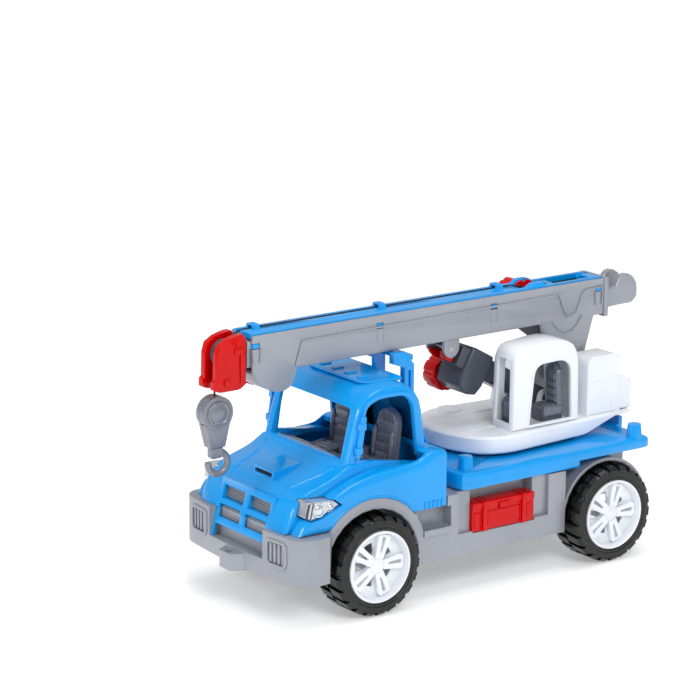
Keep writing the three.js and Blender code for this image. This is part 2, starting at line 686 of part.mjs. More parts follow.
function boomHead(sign) {
  let body = side(HEAD_SIDE, ...span(sign, 6.3, 13), 0.8);
  body = join(body, box(HEAD_X0, 378, ...span(sign, GAP / 2, 8), 226, 242));
  body = cut(body, box(360, 379, ...span(sign, -1, 4.9), 231.7, 238.8));
  body = join(body, box(373, 377, ...span(sign, 12, 14.4), 217, 250));
  for (const [x, z] of [[380, 247], [391, 219]]) body = join(body, rodY(x, z, 3.6, ...span(sign, 12, 14.6), 12));
  body = cut(body, rodY(SHEAVE.x, SHEAVE.z, SHEAVE.r + 2.5, -5, 5, 20));
  return cut(body, rodY(SHEAVE.x, SHEAVE.z, 2.1, -10, 10, 12));
}

function headSheave() {
  return turnedY(
    [[2.3, -4], [SHEAVE.r + 2, -4], [SHEAVE.r + 2, -3], [SHEAVE.r - 1.3, -1], [SHEAVE.r - 1.3, 1],
      [SHEAVE.r + 2, 3], [SHEAVE.r + 2, 4], [2.3, 4], [2.3, -4]],
    SHEAVE.x, SHEAVE.z, 20,
  );
}

// A cup-shaped finger knob with flutes, on the truck's right side.
function knob(x, z, r, y0, y1) {
  let body = rodY(x, z, r, y0, y1, 16);
  const cups = 8;
  for (let i = 0; i < cups; i += 1) {
    const a = ((i + 0.5) * 2 * Math.PI) / cups;
    const flute = rodY(x + (r + 1.4) * Math.cos(a), z + (r + 1.4) * Math.sin(a), 3, y0 - 1, y1 + 1, 6);
    body = cut(body, flute);
  }
  return cut(body, rodY(x, z, r - 5, y0 - 1, y1 - 5, 16));
}

// Teeth standing round a shaft, of the given outer radius.
function pinion(x, z, core, outer, y0, y1) {
  let body = rodY(x, z, core, y0, y1, 16);
  const teeth = 8;
  for (let i = 0; i < teeth; i += 1) {
    const tooth = new THREE.BoxGeometry(outer - core + 2, y1 - y0, 2.2);
    tooth.translate((outer + core) / 2 - 1, (y0 + y1) / 2, 0);
    tooth.rotateY(((i + 0.5) * 2 * Math.PI) / teeth);
    tooth.translate(x, 0, z);
    body = join(body, solid(tooth));
  }
  return body;
}

function telescopeKnob() {
  const shaft = rodY(GEAR.x, GEAR.z, 3.9, -19, 14.4, 16);
  return join(shaft, pinion(GEAR.x, GEAR.z, 6.6, 8.9, -6, 6), knob(GEAR.x, GEAR.z, 15, -34, -18.6));
}

function winch() {
  const { x, z, core, flange, half } = WINCH;
  let body = join(
    rodY(x, z, core, -half, half, 16),
    rodY(x, z, 3.9, -19, 14.4, 16),
    rodY(x, z, flange, -half, -half + 2, 24),
    rodY(x, z, flange, half - 2, half, 24),
  );
  const notches = 6;
  for (let i = 0; i < notches; i += 1) {
    const a = ((i + 0.5) * 2 * Math.PI) / notches;
    const notch = rodY(x + flange * Math.cos(a), z + flange * Math.sin(a), 3, -half - 1, half + 1, 6);
    body = cut(body, notch);
  }
  return join(body, knob(x, z, 14, -33, -18.6));
}

// ---------------------------------------------------------------------- jack
const JACK_ANGLE = Math.atan2(LUG.z - JACK.z, LUG.x - JACK.x);
const JACK_LENGTH = Math.hypot(LUG.z - JACK.z, LUG.x - JACK.x);

// Jack pieces are drawn lying along +X from the foot pin, then turned up.
function raiseJack(mesh) {
  mesh.rotation.y = -JACK_ANGLE;
  mesh.position.set(JACK.x, 0, JACK.z);
}

// luff pinion, along and below the rod, and the rod's rack above it
const PINION = { s: 92, t: -19, core: 6.8, outer: 9.1 };
const RACK_LOW = -9.5;

function jackHousing() {
  const tube = [[-8, -8, 6], [-8, 9, 6], [30, 9], [116, 9, 2], [116, -12, 2], [18, -12, 5]];
  const drum = [[77.5, 12, 3], [106.5, 12, 3], [106.5, -31.5, 13], [77.5, -31.5, 13]];
  let body = join(side(tube, -13, 13, 1), side(drum, -21, 16, 1.5));
  body = cut(body, box(-40, 120, -6.3, 6.3, RACK_LOW - 0.4, 5.3)); // bore for the rod
  body = cut(body, rodY(PINION.s, PINION.t, PINION.outer + 0.6, -7, 7, 20));
  body = cut(body, rodY(PINION.s, PINION.t, 4.2, -30, 13.4, 16));
  body = cut(body, rodY(0, 0, PIN_R + 0.1, -20, 20, 12));
  return cut(body, box(-10, 14, -6.3, 6.3, -20, 20));
}

function jackRod() {
  const end = JACK_LENGTH - 12;
  const rack = outline(rackPoints(20, end - 4, RACK_LOW, RACK_LOW + 3));
  return join(
    box(18, end, -5.8, 5.8, RACK_LOW + 2.8, 4.9),
    side(rack, -5.8, 5.8),
    box(end - 2, end + 1.4, -5.8, 5.8, RACK_LOW, 4.9),
  );
}

// Red yoke with an open slot round the boom's pin.
function jackClevis() {
  const L = JACK_LENGTH;
  const yoke = [[L - 10.3, -11, 3], [L + 6, -11, 6], [L + 8, 3, 3], [L - 10.3, 10, 3]];
  const slot = [[L - 5, -5, 2], [L + 12, -5], [L + 12, 5], [L - 5, 5, 2]];
  const body = cut(side(yoke, -10.6, 10.6, 1), side(slot, -20, 20));
  return cut(body, box(L - 3.5, L + 20, -7.4, 7.4, -20, 20));
}

function luffKnob() {
  const { s, t, core, outer } = PINION;
  return join(rodY(s, t, 3.9, -23, 13, 16), pinion(s, t, core, outer, -6, 6), knob(s, t, 17, -39, -22.4));
}

// ---------------------------------------------------------------------- hook
const BLOCK = { z: 190, r: FRONT_X - HOOK_X };

function hookBlock(sign) {
  const shell = [[HOOK_X - 7.5, 158], [HOOK_X + 7.5, 158], [HOOK_X + 13, 180], [HOOK_X - 13, 180]];
  const disc = rodY(HOOK_X, BLOCK.z, BLOCK.r, ...span(sign, GAP / 2, 6.5), 24);
  const ring = rodY(HOOK_X, BLOCK.z, 10.8, ...span(sign, 5, 8), 20);
  const body = join(disc, side(shell, ...span(sign, GAP / 2, 6)), ring);
  return cut(
    body,
    rodY(HOOK_X, BLOCK.z, 12.6, ...span(sign, -1, 3.6), 20),
    rodZ(HOOK_X, 0, 2.6, 150, 172, 12),
    rodZ(HOOK_X, 0, 4.9, 163, 170, 12),
    rodZ(HOOK_X, 0, 1.6, 195, 215, 8),
  );
}

function hook() {
  const shank = join(rodZ(HOOK_X, 0, 2.3, 150, 169, 12), rodZ(HOOK_X, 0, 4.5, 163.6, 169, 12));
  const neck = side(
    [[HOOK_X - 7, 157.5], [HOOK_X - 7, 147, 3], [HOOK_X + 6, 147, 3], [HOOK_X + 6, 157.5]],
    -3.6, 3.6, 0.8,
  );
  const bend = new THREE.Path();
  bend.absarc(0, 0, 10.4, Math.PI * 0.62, Math.PI * 2.05, false);
  const centre = { x: HOOK_X - 3, z: 142.2 };
  const points = bend.getPoints(14).map((p) => new THREE.Vector3(centre.x + p.x, 0, centre.z + p.y));
  return join(shank, neck, tube(points, 3.3, 16, 3));
}

// ---------------------------------------------------------------------- cord
// A round bar along a smooth line through the points.
function tube(points, r, steps, curveSteps) {
  const path = new THREE.CatmullRomCurve3(points, false, 'centripetal');
  const section = new THREE.Shape();
  section.absarc(0, 0, r, 0, Math.PI * 2, false);
  return solid(new THREE.ExtrudeGeometry(section, {
    extrudePath: path, steps, bevelEnabled: false, curveSegments: curveSteps,
  }));
}

function cord(points, steps) {
  return tube(points.map((p) => new THREE.Vector3(...p)), CORD_R, steps, 2);
}

// From the last guide down on to the sheave and round it to the front.
function headCord() {
  const r = SHEAVE.r;
  const points = [[366.8, -5.2, 260.3], [374, -2.6, 258.2]];
  for (const angle of [70, 50, 30, 12, 0]) {
    const a = (angle * Math.PI) / 180;
    points.push([SHEAVE.x + r * Math.cos(a), 0, SHEAVE.z + r * Math.sin(a)]);
  }
  return cord(points, 12);
}

// ------------------------------------------------------------------ assembly
add('chassis', 'grey', chassis());
add('toolbox_left', 'red', toolbox(1));
add('toolbox_right', 'red', toolbox(-1));

for (const [end, x] of [['front', WHEELBASE], ['rear', 0]]) {
  add(`${end}_axle`, 'steel', rodY(x, TYRE_R, AXLE_R, -AXLE_HALF, AXLE_HALF, 12));
  for (const [hand, turn] of [['left', 0], ['right', Math.PI]]) {
    const place = (mesh) => {
      mesh.position.set(x, 0, TYRE_R);
      mesh.rotation.z = turn;
    };
    add(`${end}_${hand}_rim`, 'white', rim(), place);
    add(`${end}_${hand}_tyre`, 'tyre', tyre(), place);
  }
}

add('cab_shell', 'blue', cab());
add('cab_interior', 'dark', cabInterior());
add('grille_panel', 'grey', grillePanel());
add('headlight_left', 'lamp', headlight(1));
add('headlight_right', 'lamp', headlight(-1));
add('deck', 'blue', deck());
add('boom_rest', 'blue', boomRest());

add('turntable', 'white', turntable());
add('crane_cabin', 'white', craneCabin());
add('engine_house', 'white', engineHouse());
add('crane_seat', 'dark', craneSeat());
add('crane_console', 'dark', craneConsole());
add('slew_washer', 'steel', cut(
  rodZ(SLEW_X, 0, 16.4, 94.6, 96.7, 24),
  rodZ(SLEW_X, 0, 2.4, 90, 105, 12),
));
add('slew_screw', 'steel', join(
  rodZ(SLEW_X, 0, 2, 92, 123, 12),
  rodZ(SLEW_X, 0, 4.5, 90.5, 94.3, 12),
));

add('boom_outer', 'grey', boomOuter());
add('boom_cover', 'blue', boomCover());
add('boom_tail', 'grey', boomTail());
add('boom_foot_pin', 'steel', rodY(LUFF.x, LUFF.z, PIN_R, -24, 24, 12));
add('inner_boom', 'grey', innerBoom());
add('head_left', 'red', boomHead(1));
add('head_right', 'red', boomHead(-1));
add('head_sheave', 'dark', headSheave());
add('head_pin', 'steel', rodY(SHEAVE.x, SHEAVE.z, 2, -9.8, 9.8, 12));
add('telescope_knob', 'red', telescopeKnob());
add('winch_drum', 'red', winch());

add('jack_housing', 'dark', jackHousing(), raiseJack);
add('jack_rod', 'dark', jackRod(), raiseJack);
add('jack_clevis', 'red', jackClevis(), raiseJack);
add('luff_knob', 'red', luffKnob(), raiseJack);
add('jack_foot_pin', 'steel', rodY(JACK.x, JACK.z, PIN_R, -17.4, 17.4, 12));
add('jack_head_pin', 'steel', rodY(LUG.x, LUG.z, 2.5, -14.4, 14.4, 12));

add('hook_block_left', 'dark', hookBlock(1));
add('hook_block_right', 'dark', hookBlock(-1));
add('hook', 'dark', hook());

const BOOM_RUN = [[53, CORD_Y, CORD_Z], [68, CORD_Y, CORD_Z], [350, CORD_Y, CORD_Z], [364, CORD_Y + 1, CORD_Z]];
add('hoist_cord_boom', 'cord', cord(BOOM_RUN, 30));
add('hoist_cord_head', 'cord', headCord());
add('hoist_cord_fall', 'cord', cord([[HOOK_X, 0, 242.2], [HOOK_X, 0, BLOCK.z + BLOCK.r + 0.4]], 4));

object.position.x = -(BACK_X + FRONT_X) / 2;

const root = new THREE.Group();
root.add(object);
export default root;
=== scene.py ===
"""Toy truck crane for Blender 4.5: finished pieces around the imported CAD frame.

Millimetre numbers are measured from the rear axle, like the solids; put() turns
them into metres in the shared frame.
"""
import json
import math

import bmesh
import bpy
from mathutils import Matrix, Vector


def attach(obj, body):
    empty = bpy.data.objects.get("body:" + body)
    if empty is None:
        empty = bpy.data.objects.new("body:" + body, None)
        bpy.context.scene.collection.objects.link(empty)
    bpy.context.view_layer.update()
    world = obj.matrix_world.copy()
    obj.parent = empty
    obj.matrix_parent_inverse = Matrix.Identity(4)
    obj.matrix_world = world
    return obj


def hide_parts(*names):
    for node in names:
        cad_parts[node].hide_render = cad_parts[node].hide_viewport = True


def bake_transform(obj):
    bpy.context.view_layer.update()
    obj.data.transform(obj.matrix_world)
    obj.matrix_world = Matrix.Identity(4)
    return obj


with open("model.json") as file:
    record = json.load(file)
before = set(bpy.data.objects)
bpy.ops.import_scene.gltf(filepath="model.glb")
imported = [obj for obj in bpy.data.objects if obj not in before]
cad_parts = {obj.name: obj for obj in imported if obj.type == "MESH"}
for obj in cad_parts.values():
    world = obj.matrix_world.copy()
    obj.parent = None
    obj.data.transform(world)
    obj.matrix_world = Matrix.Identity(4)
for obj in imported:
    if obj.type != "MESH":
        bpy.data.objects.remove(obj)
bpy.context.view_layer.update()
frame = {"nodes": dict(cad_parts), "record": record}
NODES = frame["nodes"]
SCENE = bpy.context.scene

REAR_AXLE_X = 159.0  # from the rear axle to the middle of the toy, mm
WHEELBASE = 280.0
AXLE_Z = 47.5
SIDES = (1, -1)  # left, right


def put(x, y, z):
    """A point in mm from the rear axle, as metres in the shared frame."""
    return Vector(((x - REAR_AXLE_X) / 1000, y / 1000, z / 1000))


# ------------------------------------------------------------------ camera
CAMERA_PLACE = (1864.25, 2219.91, 929.64)
CAMERA_BACK = (0.5695, 0.7842, 0.2466)  # from what it looks at towards the camera
CAMERA_ROLL = math.radians(0.367)
CAMERA_LENS = 157.3
CAMERA_SHIFT = (0.0085, -0.0066)


def make_camera():
    """A long lens in front of the left side, a little above the toy."""
    back = Vector(CAMERA_BACK).normalized()
    level = Vector((-back.y, back.x, 0)).normalized()
    upright = back.cross(level)
    right = level * math.cos(CAMERA_ROLL) + upright * math.sin(CAMERA_ROLL)
    up = upright * math.cos(CAMERA_ROLL) - level * math.sin(CAMERA_ROLL)
    data = bpy.data.cameras.new("camera")
    data.sensor_width = 36
    data.lens = CAMERA_LENS
    data.shift_x, data.shift_y = CAMERA_SHIFT
    data.clip_end = 50
    camera = bpy.data.objects.new("camera", data)
    turn = Matrix((right, up, back)).transposed().to_4x4()
    camera.matrix_world = Matrix.Translation(put(*CAMERA_PLACE)) @ turn
    SCENE.collection.objects.link(camera)
    SCENE.camera = camera


# --------------------------------------------------------------- materials
def tint(hex_colour, factor=1.0):
    """sRGB hex to linear RGBA, darkened or lightened by factor."""
    out = []
    for shift in (16, 8, 0):
        c = ((hex_colour >> shift) & 255) / 255
        c = c / 12.92 if c <= 0.04045 else ((c + 0.055) / 1.055) ** 2.4
        out.append(min(1.0, c * factor))
    return (*out, 1.0)


class Paint:
    """A material with a few shorthands for building its node tree."""

    def __init__(self, name):
        self.mat = bpy.data.materials.new(name)
        self.mat.use_nodes = True
        self.tree = self.mat.node_tree
        self.shader = self.tree.nodes["Principled BSDF"]
        self.coords = self.node("ShaderNodeTexCoord").outputs["Object"]

    def node(self, kind, **settings):
        made = self.tree.nodes.new(kind)
        for key, value in settings.items():
            setattr(made, key, value)
        return made

    def link(self, a, b):
        self.tree.links.new(a, b)

    def noise(self, scale, detail=3.0, stretch=(1, 1, 1)):
        mapping = self.node("ShaderNodeMapping")
        mapping.inputs["Scale"].default_value = stretch
        self.link(self.coords, mapping.inputs["Vector"])
        made = self.node("ShaderNodeTexNoise")
        made.inputs["Scale"].default_value = scale
        made.inputs["Detail"].default_value = detail
        self.link(mapping.outputs["Vector"], made.inputs["Vector"])
        return made.outputs["Fac"]

    def spread(self, value, low, high, start=0.3, end=0.7):
        """The value's range from start to end, stretched to run from low to high."""
        made = self.node("ShaderNodeMapRange")
        made.inputs["From Min"].default_value = start
        made.inputs["From Max"].default_value = end
        made.inputs["To Min"].default_value = low
        made.inputs["To Max"].default_value = high
        self.link(value, made.inputs["Value"])
        return made.outputs["Result"]

    def colours(self, value, dark, light):
        """Base colour between two tints."""
        mix = self.node("ShaderNodeMix", data_type="RGBA")
        mix.inputs[6].default_value = dark
        mix.inputs[7].default_value = light
        self.link(value, mix.inputs[0])
        self.link(mix.outputs[2], self.shader.inputs["Base Color"])

    def bump(self, value, distance, strength, below=None):
        made = self.node("ShaderNodeBump")
        made.inputs["Distance"].default_value = distance
        made.inputs["Strength"].default_value = strength
        self.link(value, made.inputs["Height"])
        if below is not None:
            self.link(below, made.inputs["Normal"])
        return made.outputs["Normal"]

    def normal(self, value):
        self.link(value, self.shader.inputs["Normal"])


def plastic(name, colour, rough, grain, coat=0.0, marks=1.0, light=1.06, pearl=0.0, shine=0.32):
    """Moulded plastic: soft flow marks, fine moulding texture and faint handling marks."""
    paint = Paint(name)
    flow = paint.spread(paint.noise(14, 3), 0, 1)
    paint.colours(flow, tint(colour, 0.93), tint(colour, light))
    scuffs = paint.noise(240, 4, (1, 1, 0.25))
    paint.link(
        paint.spread(scuffs, rough * (1 - 0.14 * marks), rough * (1 + 0.22 * marks)),
        paint.shader.inputs["Roughness"],
    )
    peel = paint.bump(paint.noise(420, 2), 0.0004, 0.10 * grain)
    fine = paint.bump(paint.noise(2600, 3), 0.0001, 0.5 * grain, peel)
    paint.normal(fine)
    paint.shader.inputs["IOR"].default_value = 1.49
    paint.shader.inputs["Specular IOR Level"].default_value = shine
    paint.shader.inputs["Metallic"].default_value = pearl
    if coat:
        paint.shader.inputs["Coat Weight"].default_value = coat
        paint.shader.inputs["Coat Roughness"].default_value = 0.08
    return paint.mat


def metal(name, colour, rough, streaks):
    """Drawn wire and pins, with streaks along one axis."""
    paint = Paint(name)
    cloud = paint.spread(paint.noise(300, 3, streaks), 0, 1)
    paint.colours(cloud, tint(colour, 0.85), tint(colour, 1.05))
    paint.link(
        paint.spread(paint.noise(900, 4, streaks), rough * 0.8, rough * 1.3),
        paint.shader.inputs["Roughness"],
    )
    paint.normal(paint.bump(paint.noise(1500, 2, streaks), 0.0001, 0.3))
    paint.shader.inputs["Metallic"].default_value = 0.9
    return paint.mat


def lamp_material():
    """Silvery reflector under clear plastic."""
    paint = Paint("lamp_plastic")
    paint.colours(paint.spread(paint.noise(60, 2), 0, 1), tint(0xA8ACB2), tint(0xD6DADF))
    paint.link(paint.spread(paint.noise(500, 3), 0.10, 0.2), paint.shader.inputs["Roughness"])
    paint.normal(paint.bump(paint.noise(700, 2), 0.0002, 0.1))
    paint.shader.inputs["Metallic"].default_value = 0.55
    paint.shader.inputs["Coat Weight"].default_value = 1.0
    paint.shader.inputs["Coat Roughness"].default_value = 0.04
    return paint.mat


def cord_material():
    """Dark twisted cord."""
    paint = Paint("cord_twist")
    wave = paint.node("ShaderNodeTexWave", wave_type="BANDS", bands_direction="DIAGONAL")
    wave.inputs["Scale"].default_value = 520
    wave.inputs["Distortion"].default_value = 1.5
    paint.link(paint.coords, wave.inputs["Vector"])
    paint.colours(wave.outputs["Fac"], tint(0x16171A), tint(0x3A3C42))
    paint.normal(paint.bump(wave.outputs["Fac"], 0.0003, 0.8))
    paint.shader.inputs["Roughness"].default_value = 0.8
    return paint.mat


MATERIALS = {
    "blue": plastic("blue_plastic", 0x0498E6, 0.17, 0.15, coat=0.3),
    "grey": plastic("grey_plastic", 0x9A9DA4, 0.33, 0.4, pearl=0.3),
    "dark": plastic("dark_plastic", 0x444853, 0.34, 0.4, coat=0.15),
    "red": plastic("red_plastic", 0xC80002, 0.16, 0.15, coat=0.08, shine=0.2),
    "white": plastic("white_plastic", 0xEDF0F5, 0.20, 0.06, coat=0.25, light=1.0),
    "tyre": plastic("tyre_plastic", 0x070708, 0.28, 0.6, coat=0.3, marks=1.6, light=1.5),
    "lamp": lamp_material(),
    "steel": metal("steel", 0xB0B3B8, 0.3, (1, 1, 0.2)),
    "cord": cord_material(),
}
# The hook and the seats are lighter than the rest of the dark slot.
HOOK_PLASTIC = plastic("hook_plastic", 0x7E818A, 0.28, 0.3, coat=0.3, pearl=0.35)
SEAT_PLASTIC = plastic("seat_plastic", 0x686C78, 0.26, 0.3, coat=0.3, pearl=0.15)
SLOT_OF = {part["node"]: part["material_slot"] for part in frame["record"]["subparts"]}
BODIES = frame["record"]["behaviour"]["bodies"]
BODY_OF = {node: body for body, nodes in BODIES.items() for node in nodes}


# ------------------------------------------------------------ mesh helpers
def smooth_bevel(obj, width, segments, angle):
    """Smooth shading with every edge sharper than the angle rounded, width in mm."""
    for polygon in obj.data.polygons:
        polygon.use_smooth = True
    bevel = obj.modifiers.new("bevel", "BEVEL")
    bevel.width = width / 1000
    bevel.segments = segments
    bevel.limit_method = "ANGLE"
    bevel.angle_limit = math.radians(angle)
    bevel.harden_normals = True
    bevel.miter_outer = "MITER_ARC"
    bevel.use_clamp_overlap = True


def piece(name, bm, body, slot, bevel=0.5, segments=2, angle=30):
    """A finished mesh object with the slot's material, riding on a body if one is named."""
    bmesh.ops.recalc_face_normals(bm, faces=bm.faces)
    data = bpy.data.meshes.new(name)
    bm.to_mesh(data)
    bm.free()
    obj = bpy.data.objects.new(name, data)
    SCENE.collection.objects.link(obj)
    data.materials.append(MATERIALS[slot])
    if bevel:
        smooth_bevel(obj, bevel, segments, angle)
    else:
        for polygon in data.polygons:
            polygon.use_smooth = True
    if body:
        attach(obj, body)
    return obj


# Nodes whose foot is let in: what lies below the first height goes to the second.
SUNK = {"crane_cabin": (134.4, 133.7), "engine_house": (134.4, 133.7), "boom_rest": (114.4, 113.7)}


def skin(node, width, segments):
    """The CAD node's shape with its moulded edges rounded and its foot let into what carries it."""
    bm = bmesh.new()
    bm.from_mesh(NODES[node].data)
    below, foot = SUNK.get(node, (0, 0))
    for vertex in bm.verts:
        if vertex.co.z * 1000 < below:
            vertex.co.z = foot / 1000
    bmesh.ops.remove_doubles(bm, verts=bm.verts, dist=2e-6)
    bmesh.ops.dissolve_limit(bm, angle_limit=math.radians(0.6), verts=bm.verts, edges=bm.edges)
    obj = piece(f"{node}_skin", bm, BODY_OF[node], SLOT_OF[node], width, segments)
    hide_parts(node)
    return obj


def across(sign, near, far):
    """A span in y on one side of the toy, lowest first."""
    return sorted((sign * near, sign * far))


def outline_at(bm, points, level, axis):
    """Vertices for an outline that lies across the axis at a level on it."""
    order = {"x": (2, 0, 1), "y": (0, 2, 1), "z": (0, 1, 2)}[axis]
    return [bm.verts.new(put(*((a, b, level)[i] for i in order))) for a, b in points]


def add_prism(bm, points, lo, hi, axis):
    """A closed prism; points lie in the two other axes, in order X, Y, Z."""
    near = outline_at(bm, points, lo, axis)
    far = outline_at(bm, points, hi, axis)
    bm.faces.new(near[::-1])
    bm.faces.new(far)
    for i in range(len(points)):
        j = (i + 1) % len(points)
        bm.faces.new((near[i], near[j], far[j], far[i]))


def add_box(bm, x0, x1, y0, y1, z0, z1):
    """A box between two limits on each axis."""
    add_prism(bm, [(x0, y0), (x1, y0), (x1, y1), (x0, y1)], z0, z1, "z")


def add_ring(bm, outer, inner, lo, hi, axis):
    """A flat frame between two outlines with the same number of points."""
    n = len(outer)
    out_lo, out_hi = (outline_at(bm, outer, level, axis) for level in (lo, hi))
    in_lo, in_hi = (outline_at(bm, inner, level, axis) for level in (lo, hi))
    for i in range(n):
        j = (i + 1) % n
        bm.faces.new((out_lo[i], out_lo[j], out_hi[j], out_hi[i]))
        bm.faces.new((in_lo[j], in_lo[i], in_hi[i], in_hi[j]))
        bm.faces.new((out_hi[i], out_hi[j], in_hi[j], in_hi[i]))
        bm.faces.new((out_lo[j], out_lo[i], in_lo[i], in_lo[j]))


def rounded(points, steps=4):
    """Points with an optional third number, a corner radius, made into a smooth outline."""
    out = []
    n = len(points)
    for i, p in enumerate(points):
        here = Vector(p[:2])
        before = Vector(points[i - 1][:2]) - here
        after = Vector(points[(i + 1) % n][:2]) - here
        wanted = p[2] if len(p) > 2 else 0
        radius = min(wanted, 0.48 * before.length, 0.48 * after.length)
        if radius <= 0:
            out.append(tuple(here))
            continue
        a = here + before.normalized() * radius
        b = here + after.normalized() * radius
        for k in range(steps + 1):
            t = k / steps
            q = a * (1 - t) ** 2 + here * 2 * t * (1 - t) + b * t * t
            out.append(tuple(q))
    return out


def grow(points, amount):
    """The outline moved outwards by amount (inwards if negative)."""
    n = len(points)
    area = sum(Vector(points[i - 1]).cross(Vector(points[i])) for i in range(n))
    sign = 1 if area > 0 else -1
    out = []
    for i in range(n):
        a = (Vector(points[i]) - Vector(points[i - 1])).normalized()
        b = (Vector(points[(i + 1) % n]) - Vector(points[i])).normalized()
        na, nb = Vector((a.y, -a.x)), Vector((b.y, -b.x))
        mid = (na + nb).normalized()
        reach = amount / max(0.5, mid.dot(na))
        out.append(tuple(Vector(points[i]) + mid * reach * sign))
    return out


def turn_points(x, y, z, radius, sides):
    """Points evenly round an axis along Y."""
    angles = [2 * math.pi * k / sides for k in range(sides)]
    return [put(x + radius * math.cos(a), y, z + radius * math.sin(a)) for a in angles]


def add_lathe(bm, profile, x, z, sides):
    """[radius, y] pairs turned about an axis along Y; ends on radius 0 are closed."""
    rings = []
    for r, y in profile:
        if r <= 0:
            rings.append([bm.verts.new(put(x, y, z))])
            continue
        rings.append([bm.verts.new(point) for point in turn_points(x, y, z, r, sides)])
    for low, high in zip(rings, rings[1:]):
        for k in range(sides):
            j = (k + 1) % sides
            if len(low) == 1:
                bm.faces.new((low[0], high[k], high[j]))
            elif len(high) == 1:
                bm.faces.new((low[k], high[0], low[j]))
            else:
                bm.faces.new((low[k], high[k], high[j], low[j]))


def add_tube(bm, points, radii, sides=10):
    """A round bar through the points, closed at both ends; radii is a number or a list."""
    path = [Vector(p) for p in points]
    before = None
    rings = []
    for i, here in enumerate(path):
        ahead = path[min(i + 1, len(path) - 1)] - path[max(i - 1, 0)]
        ahead.normalize()
        if before is None:
            helper = Vector((0, 1, 0)) if abs(ahead.y) < 0.9 else Vector((1, 0, 0))
            before = ahead.cross(helper).normalized()
        before = (before - ahead * before.dot(ahead)).normalized()
        other = ahead.cross(before)
        r = radii[i] if isinstance(radii, list) else radii
        ring = []
        for k in range(sides):
            a = 2 * math.pi * k / sides
            place = here + before * r * math.cos(a) + other * r * math.sin(a)
            ring.append(bm.verts.new(put(*place)))
        rings.append(ring)
    for low, high in zip(rings, rings[1:]):
        for k in range(sides):
            j = (k + 1) % sides
            bm.faces.new((low[k], low[j], high[j], high[k]))
    bm.faces.new(rings[0][::-1])
    bm.faces.new(rings[-1])


# ------------------------------------------------------------------ wheels
TYRE_PROFILE = [(34.4, 60), (36, 58.6), (43.2, 58.4), (45.0, 61.5), (45.0, 94), (43.4, 96.8),
                (38.5, 97.3), (37.6, 96.6), (36.6, 97.3), (34.6, 96.9), (34.4, 60)]
TREAD_BLOCKS = 22
TREAD_ROWS = ((76.8, 59.2, 0.05), (78.6, 97.0, -0.05))  # y at the root, y at the tip, lean


def tyre(node, x, hand):
    """Carcass with rounded shoulders and two staggered rows of tread blocks."""
    bm = bmesh.new()
    add_lathe(bm, [(r, hand * y) for r, y in TYRE_PROFILE], x, AXLE_Z, 72)
    step = 2 * math.pi / TREAD_BLOCKS
    for row, (root, tip, lean) in enumerate(TREAD_ROWS):
        for k in range(TREAD_BLOCKS):
            a = (k + 0.5 * row) * step
            add_block(bm, x, a, 0.66 * step, hand * root, hand * tip, hand * lean)
    obj = piece(f"{node}_tread", bm, BODY_OF[node], "tyre", 0.5, 2, 35)
    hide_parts(node)


def add_block(bm, x, angle, width, root, tip, lean):
    """One tread block, bent round the tyre and turned down over the shoulder at its tip."""
    outer, base, shoulder = 47.3, 44.4, 42.2  # radii
    edge = math.copysign(3.2, tip - root)
    spans = [(root, outer), (tip - edge, outer), (tip, outer - 2.6), (tip, shoulder),
             (tip - edge, shoulder), (root, base)]
    sides = []
    for offset in (-0.5, 0.5):
        ring = []
        for y, r in spans:
            t = (y - root) / (tip - root)
            a = angle + width * offset + lean * t
            ring.append(bm.verts.new(put(x + r * math.cos(a), y, AXLE_Z + r * math.sin(a))))
        sides.append(ring)
    n = len(spans)
    bm.faces.new(sides[0][::-1])
    bm.faces.new(sides[1])
    for i in range(n):
        j = (i + 1) % n
        bm.faces.new((sides[0][i], sides[0][j], sides[1][j], sides[1][i]))


def spoke_outline(near, far, near_half, far_half, angle, x):
    """A finger along a radius with a round outer end, as x and z pairs."""
    local = [(near, -near_half)]
    bow = 0.55 * far_half
    for k in range(13):
        a = math.pi * (k / 12 - 0.5)
        u = math.copysign(abs(math.cos(a)) ** 0.6, math.cos(a))
        v = math.copysign(abs(math.sin(a)) ** 0.6, math.sin(a))
        local.append((far - bow + bow * u, far_half * v))
    local.append((near, near_half))
    c, s = math.cos(angle), math.sin(angle)
    return [(x + u * c - v * s, AXLE_Z + u * s + v * c) for u, v in local]


RIM_LIP = [(31.2, 60.4), (34.1, 60.4), (34.1, 97.2), (33.2, 98.3), (32.2, 98.3), (31.4, 97.0),
           (30.6, 88.5), (29.6, 86.2), (30.6, 84.5), (31.2, 60.4)]
RIM_HUB = [(0, 95.2), (2.2, 95.2), (3.4, 94.4), (5.6, 94.0), (7.6, 92.6), (8.4, 90.4),
           (8.4, 66.2), (3.0, 66.2), (2.7, 87.3), (0, 87.3)]
RIM_DISH = [(7.6, 88.6), (9.5, 87.0), (12, 86.0), (15, 85.6), (18, 85.4), (21, 85.4),
            (25.5, 85.8), (30.9, 87.4)]
SPOKES = 5


